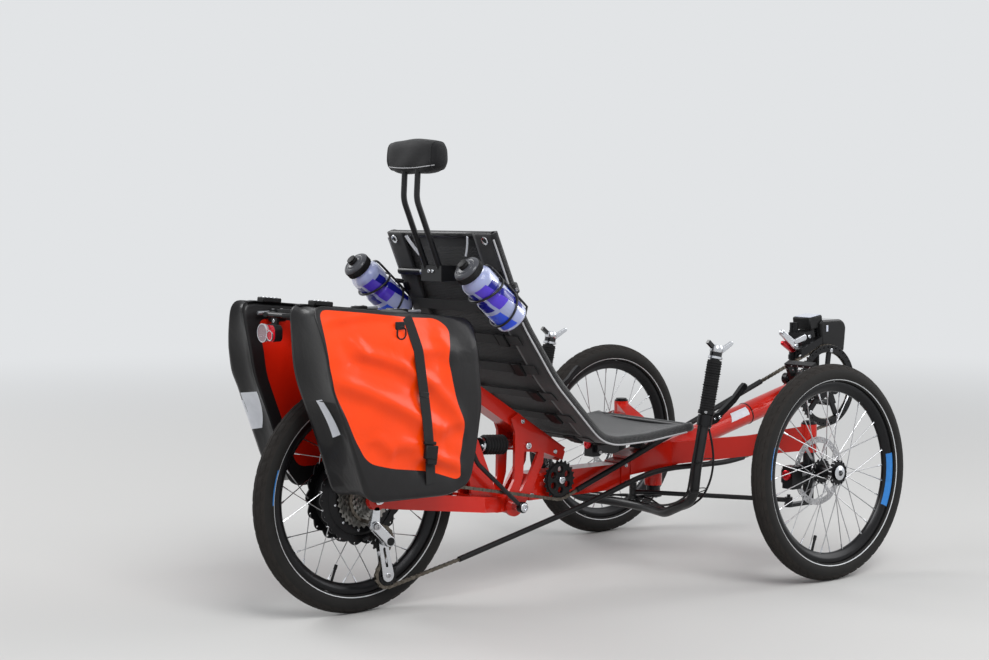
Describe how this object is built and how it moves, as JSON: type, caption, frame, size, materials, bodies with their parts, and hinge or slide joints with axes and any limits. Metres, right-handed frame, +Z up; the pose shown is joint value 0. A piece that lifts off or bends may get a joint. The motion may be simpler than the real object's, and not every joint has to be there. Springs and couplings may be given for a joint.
{
  "type": "recumbent tadpole trike",
  "caption": "Full-suspension recumbent trike with two steered front wheels, a hub-motor rear wheel, a mesh bucket seat, under-seat steering, panniers and a headrest.",
  "frame": {"origin": "bottom centre of the overall box, on the ground between the wheels", "axes": "+X forward towards the cranks, +Y to the rider's left, +Z up"},
  "size_m": [1.8657, 0.8464, 1.01],
  "materials": {
    "frame_red": "gloss red powder coat",
    "black_metal": "satin black",
    "rim_black": "black anodised",
    "silver_metal": "brushed and polished aluminium",
    "bright_steel": "stainless steel",
    "chain_steel": "oiled steel",
    "tyre_rubber": "matt black-grey rubber",
    "black_plastic": "matt black",
    "grip_rubber": "soft black rubber",
    "bellows_rubber": "black bellows",
    "seat_mesh": "black stretched mesh",
    "pad_fabric": "black fabric over foam",
    "bag_cloth": "glossy coated orange cloth with black borders",
    "bottle_plastic": "translucent squeeze plastic",
    "lamp_red": "clear red lens",
    "lamp_black": "gloss black housing"
  },
  "bodies": {
    "frame": {"main_tube": "frame_red", "side_plates": "frame_red", "seat_rail": "frame_red", "front_beam": "frame_red", "cross_arm_right": "frame_red", "cross_arm_left": "frame_red", "boom": "frame_red", "swing_arm": "frame_red", "pivot_bolts": "silver_metal", "shock": "bellows_rubber", "rear_axle": "bright_steel", "idler": "black_plastic", "chain": "chain_steel", "chain_tubes": "black_plastic", "rear_derailleur": "silver_metal", "front_derailleur": "silver_metal", "seat_frame": "black_metal", "seat_sling": "seat_mesh", "seat_bracket": "black_metal", "headrest_posts": "black_metal", "headrest_pad": "pad_fabric", "rack": "black_metal", "pannier_right": "bag_cloth", "pannier_left": "bag_cloth", "bottles": "bottle_plastic", "bottle_caps": "black_plastic", "bottle_cages": "black_metal", "tail_lamp": "lamp_red", "head_lamp": "lamp_black"},
    "rear_wheel": {"rear_tyre": "tyre_rubber", "rear_rim": "rim_black", "rear_spokes": "bright_steel", "hub_motor": "black_metal", "cassette": "chain_steel"},
    "steering": {"steering_bar": "black_metal", "grips": "grip_rubber", "brake_levers": "black_metal", "shifters": "silver_metal", "bar_cables": "black_plastic"},
    "tie_rod_right": {"tie_rod_right": "black_metal"},
    "tie_rod_left": {"tie_rod_left": "black_metal"},
    "knuckle_right": {"knuckle_right": "black_metal", "caliper_right": "black_metal"},
    "knuckle_left": {"knuckle_left": "black_metal", "caliper_left": "black_metal"},
    "front_wheel_right": {"tyre_right": "tyre_rubber", "rim_right": "rim_black", "spokes_right": "bright_steel", "hub_right": "black_metal", "rotor_right": "bright_steel"},
    "front_wheel_left": {"tyre_left": "tyre_rubber", "rim_left": "rim_black", "spokes_left": "bright_steel", "hub_left": "black_metal", "rotor_left": "bright_steel"},
    "cranks": {"cranks": "black_metal", "chainring": "black_metal"},
    "pedal_right": {"pedal_right": "black_plastic"},
    "pedal_left": {"pedal_left": "black_plastic"}
  },
  "joints": [
    {"name": "rear_wheel_spin", "type": "hinge", "parent": "frame", "child": "rear_wheel", "pos_m": [-0.68293, 0, 0.25], "axis": [0, 1, 0], "continuous": true},
    {"name": "steering_turn", "type": "hinge", "parent": "frame", "child": "steering", "pos_m": [0.17707, 0, 0.15], "axis": [0, 0, 1], "range_deg": [-25, 25]},
    {"name": "tie_rod_right_turn", "type": "hinge", "parent": "steering", "child": "tie_rod_right", "pos_m": [0.11107, 0, 0.181], "axis": [0, 0, 1], "range_deg": [-25, 25]},
    {"name": "tie_rod_left_turn", "type": "hinge", "parent": "steering", "child": "tie_rod_left", "pos_m": [0.11107, 0, 0.196], "axis": [0, 0, 1], "range_deg": [-25, 25]},
    {"name": "knuckle_right_turn", "type": "hinge", "parent": "frame", "child": "knuckle_right", "pos_m": [0.36707, -0.325, 0.25], "axis": [0, 0, 1], "range_deg": [-25, 25]},
    {"name": "knuckle_left_turn", "type": "hinge", "parent": "frame", "child": "knuckle_left", "pos_m": [0.36707, 0.325, 0.25], "axis": [0, 0, 1], "range_deg": [-25, 25]},
    {"name": "front_wheel_right_spin", "type": "hinge", "parent": "knuckle_right", "child": "front_wheel_right", "pos_m": [0.36707, -0.39, 0.24986], "axis": [0, 0.9994, -0.0349], "continuous": true},
    {"name": "front_wheel_left_spin", "type": "hinge", "parent": "knuckle_left", "child": "front_wheel_left", "pos_m": [0.36707, 0.39, 0.24986], "axis": [0, 0.9994, 0.0349], "continuous": true},
    {"name": "crank_spin", "type": "hinge", "parent": "frame", "child": "cranks", "pos_m": [0.73707, 0, 0.402], "axis": [0, 1, 0], "continuous": true},
    {"name": "pedal_right_spin", "type": "hinge", "parent": "cranks", "child": "pedal_right", "pos_m": [0.56965, -0.13, 0.43152], "axis": [0, 1, 0], "continuous": true},
    {"name": "pedal_left_spin", "type": "hinge", "parent": "cranks", "child": "pedal_left", "pos_m": [0.90449, 0.13, 0.37248], "axis": [0, 1, 0], "continuous": true}
  ],
  "couplings": [
    {"joint": "tie_rod_right_turn", "follows": "steering_turn", "ratio": -1},
    {"joint": "tie_rod_left_turn", "follows": "steering_turn", "ratio": -1},
    {"joint": "knuckle_right_turn", "follows": "steering_turn", "ratio": 1},
    {"joint": "knuckle_left_turn", "follows": "steering_turn", "ratio": 1}
  ]
}
